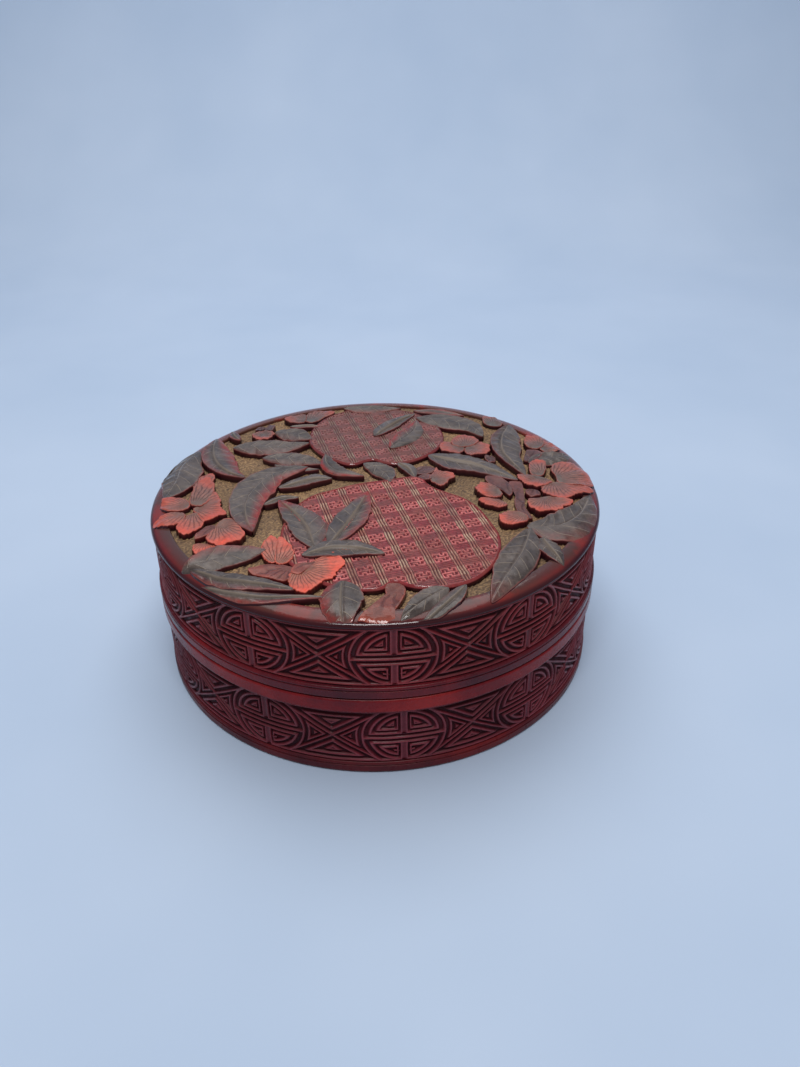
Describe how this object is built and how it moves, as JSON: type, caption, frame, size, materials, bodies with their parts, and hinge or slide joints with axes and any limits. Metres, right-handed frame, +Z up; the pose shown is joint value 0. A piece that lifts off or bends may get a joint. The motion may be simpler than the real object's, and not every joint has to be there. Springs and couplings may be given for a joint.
{
  "type": "carved lacquer box",
  "caption": "Round flat box with a lift-off lid, carved with fruit, leaves and blossom on top and a geometric roundel lattice round both sides.",
  "frame": {"origin": "centre of the circle that the foot stands on, at the bottom of the box", "axes": "+Z up along the axis of the round box, front towards -Y, +X to the right seen from the front"},
  "size_m": [0.151, 0.151, 0.0593],
  "materials": {
    "carved_red": "satin cinnabar lacquer, carved",
    "plain_red": "polished cinnabar lacquer",
    "top_lacquer": "carved lacquer in red, grey-green and ochre layers, satin",
    "black_lacquer": "polished black lacquer",
    "core_wood": "plain turned and bent softwood"
  },
  "bodies": {
    "base": {"base_floor_board": "core_wood", "base_wall_hoop": "core_wood", "base_rim_lacquer": "black_lacquer", "base_locating_lip": "black_lacquer", "base_floor_lacquer": "black_lacquer", "base_under_lacquer": "black_lacquer", "base_foot_moulding": "plain_red", "base_carved_band": "carved_red", "base_seam_moulding": "plain_red"},
    "lid": {"lid_rim_lacquer": "black_lacquer", "lid_wall_hoop": "core_wood", "lid_top_board": "core_wood", "lid_inner_lacquer": "black_lacquer", "lid_rim_moulding": "plain_red", "lid_carved_band": "carved_red", "lid_border": "plain_red", "lid_carved_top": "top_lacquer"}
  },
  "joints": [
    {"name": "lid_lift", "type": "slide", "parent": "base", "child": "lid", "axis": [0, 0, 1], "range_m": [0, 0.06]}
  ]
}
